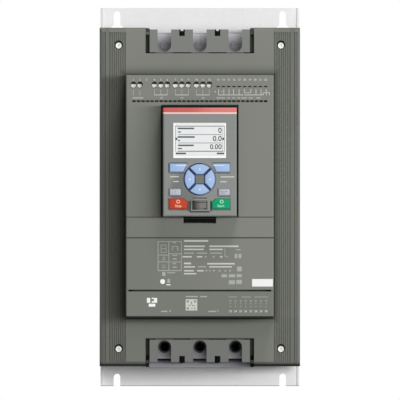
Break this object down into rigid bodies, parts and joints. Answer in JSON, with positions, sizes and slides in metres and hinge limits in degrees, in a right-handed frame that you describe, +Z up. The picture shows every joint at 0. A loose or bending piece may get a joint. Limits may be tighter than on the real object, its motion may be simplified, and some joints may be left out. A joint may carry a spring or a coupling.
{
  "type": "soft starter",
  "caption": "Wall-mounted soft starter for a three-phase motor: ribbed housing on a folded plate, busbar bays at both ends, raised control unit and a pull-off keypad panel.",
  "frame": {"origin": "middle of the wall plate's back face", "axes": "+X to the right seen from the front, +Y to the wall, +Z up; the front faces -Y"},
  "size_m": [0.1994, 0.278, 0.38],
  "materials": {
    "plate_steel": "satin",
    "sink_aluminium": "extruded",
    "case_plastic": "fine grain",
    "cover_plastic": "fine grain",
    "shield_plastic": "fine grain",
    "busbar_metal": "tin plated",
    "module_plastic": "plain",
    "sensor_plastic": "plain",
    "board_laminate": "solder mask",
    "terminal_plastic": "plain",
    "screw_steel": "zinc plated",
    "fan_plastic": "plain",
    "panel_black": "plain",
    "bezel_plastic": "fine grain",
    "arrow_plastic": "plain",
    "display_pane": "clear pane",
    "mat_rubber": "plain",
    "key_blue": "plain",
    "key_grey": "plain",
    "key_red": "plain",
    "key_green": "plain",
    "flap_plastic": "plain"
  },
  "bodies": {
    "base": {"back_plate": "plate_steel", "heat_sink": "sink_aluminium", "rear_case": "case_plastic", "line_tray": "case_plastic", "motor_tray": "case_plastic", "front_cover": "cover_plastic", "control_housing": "cover_plastic", "label_cover": "cover_plastic", "lower_cover": "cover_plastic", "line_shield": "shield_plastic", "motor_shield": "shield_plastic", "line_bar_1": "busbar_metal", "line_bar_2": "busbar_metal", "line_bar_3": "busbar_metal", "motor_bar_1": "busbar_metal", "motor_bar_2": "busbar_metal", "motor_bar_3": "busbar_metal", "thyristor_1": "module_plastic", "thyristor_2": "module_plastic", "thyristor_3": "module_plastic", "bypass_1": "module_plastic", "bypass_2": "module_plastic", "bypass_3": "module_plastic", "current_sensor_1": "sensor_plastic", "current_sensor_2": "sensor_plastic", "current_sensor_3": "sensor_plastic", "power_board": "board_laminate", "control_board": "board_laminate", "supply_terminal": "terminal_plastic", "relay_terminal_1": "terminal_plastic", "relay_terminal_2": "terminal_plastic", "relay_terminal_3": "terminal_plastic", "signal_terminal": "terminal_plastic", "lower_terminal": "terminal_plastic", "data_jacks": "terminal_plastic", "terminal_screws": "screw_steel", "cover_screws": "screw_steel", "plate_screws": "screw_steel", "fan_frame_left": "fan_plastic", "fan_frame_right": "fan_plastic"},
    "panel": {"panel_back": "panel_black", "panel_bezel": "bezel_plastic", "arrow_frame": "arrow_plastic", "display": "display_pane", "key_mat": "mat_rubber", "panel_board": "board_laminate", "panel_socket": "panel_black"},
    "fan_left": {"fan_rotor_left": "fan_plastic"},
    "fan_right": {"fan_rotor_right": "fan_plastic"},
    "key_menu_left": {"key_menu_left": "key_blue"},
    "key_menu_right": {"key_menu_right": "key_blue"},
    "key_up": {"key_up": "key_blue"},
    "key_down": {"key_down": "key_blue"},
    "key_left": {"key_left": "key_blue"},
    "key_right": {"key_right": "key_blue"},
    "key_help": {"key_help": "key_grey"},
    "key_mode": {"key_mode": "key_grey"},
    "key_stop": {"key_stop": "key_red"},
    "key_start": {"key_start": "key_green"},
    "usb_flap": {"usb_cover": "flap_plastic"}
  },
  "joints": [
    {"name": "panel_pull", "type": "slide", "parent": "base", "child": "panel", "axis": [0, -1, 0], "range_m": [0, 0.03]},
    {"name": "fan_left_spin", "type": "hinge", "parent": "base", "child": "fan_left", "pos_m": [-0.041, -0.047, -0.155], "axis": [0, 0, 1], "continuous": true},
    {"name": "fan_right_spin", "type": "hinge", "parent": "base", "child": "fan_right", "pos_m": [0.041, -0.047, -0.155], "axis": [0, 0, 1], "continuous": true},
    {"name": "key_menu_left_press", "type": "slide", "parent": "panel", "child": "key_menu_left", "axis": [0, 1, 0], "range_m": [0, 0.0008], "stiffness_N_per_m": 1500},
    {"name": "key_menu_right_press", "type": "slide", "parent": "panel", "child": "key_menu_right", "axis": [0, 1, 0], "range_m": [0, 0.0008], "stiffness_N_per_m": 1500},
    {"name": "key_up_press", "type": "slide", "parent": "panel", "child": "key_up", "axis": [0, 1, 0], "range_m": [0, 0.0008], "stiffness_N_per_m": 1500},
    {"name": "key_down_press", "type": "slide", "parent": "panel", "child": "key_down", "axis": [0, 1, 0], "range_m": [0, 0.0008], "stiffness_N_per_m": 1500},
    {"name": "key_left_press", "type": "slide", "parent": "panel", "child": "key_left", "axis": [0, 1, 0], "range_m": [0, 0.0008], "stiffness_N_per_m": 1500},
    {"name": "key_right_press", "type": "slide", "parent": "panel", "child": "key_right", "axis": [0, 1, 0], "range_m": [0, 0.0008], "stiffness_N_per_m": 1500},
    {"name": "key_help_press", "type": "slide", "parent": "panel", "child": "key_help", "axis": [0, 1, 0], "range_m": [0, 0.0008], "stiffness_N_per_m": 1500},
    {"name": "key_mode_press", "type": "slide", "parent": "panel", "child": "key_mode", "axis": [0, 1, 0], "range_m": [0, 0.0008], "stiffness_N_per_m": 1500},
    {"name": "key_stop_press", "type": "slide", "parent": "panel", "child": "key_stop", "axis": [0, 1, 0], "range_m": [0, 0.0008], "stiffness_N_per_m": 1500},
    {"name": "key_start_press", "type": "slide", "parent": "panel", "child": "key_start", "axis": [0, 1, 0], "range_m": [0, 0.0008], "stiffness_N_per_m": 1500},
    {"name": "usb_flap_swing", "type": "hinge", "parent": "panel", "child": "usb_flap", "pos_m": [0, -0.2764, -0.00465], "axis": [-1, 0, 0], "range_deg": [0, 100]}
  ]
}
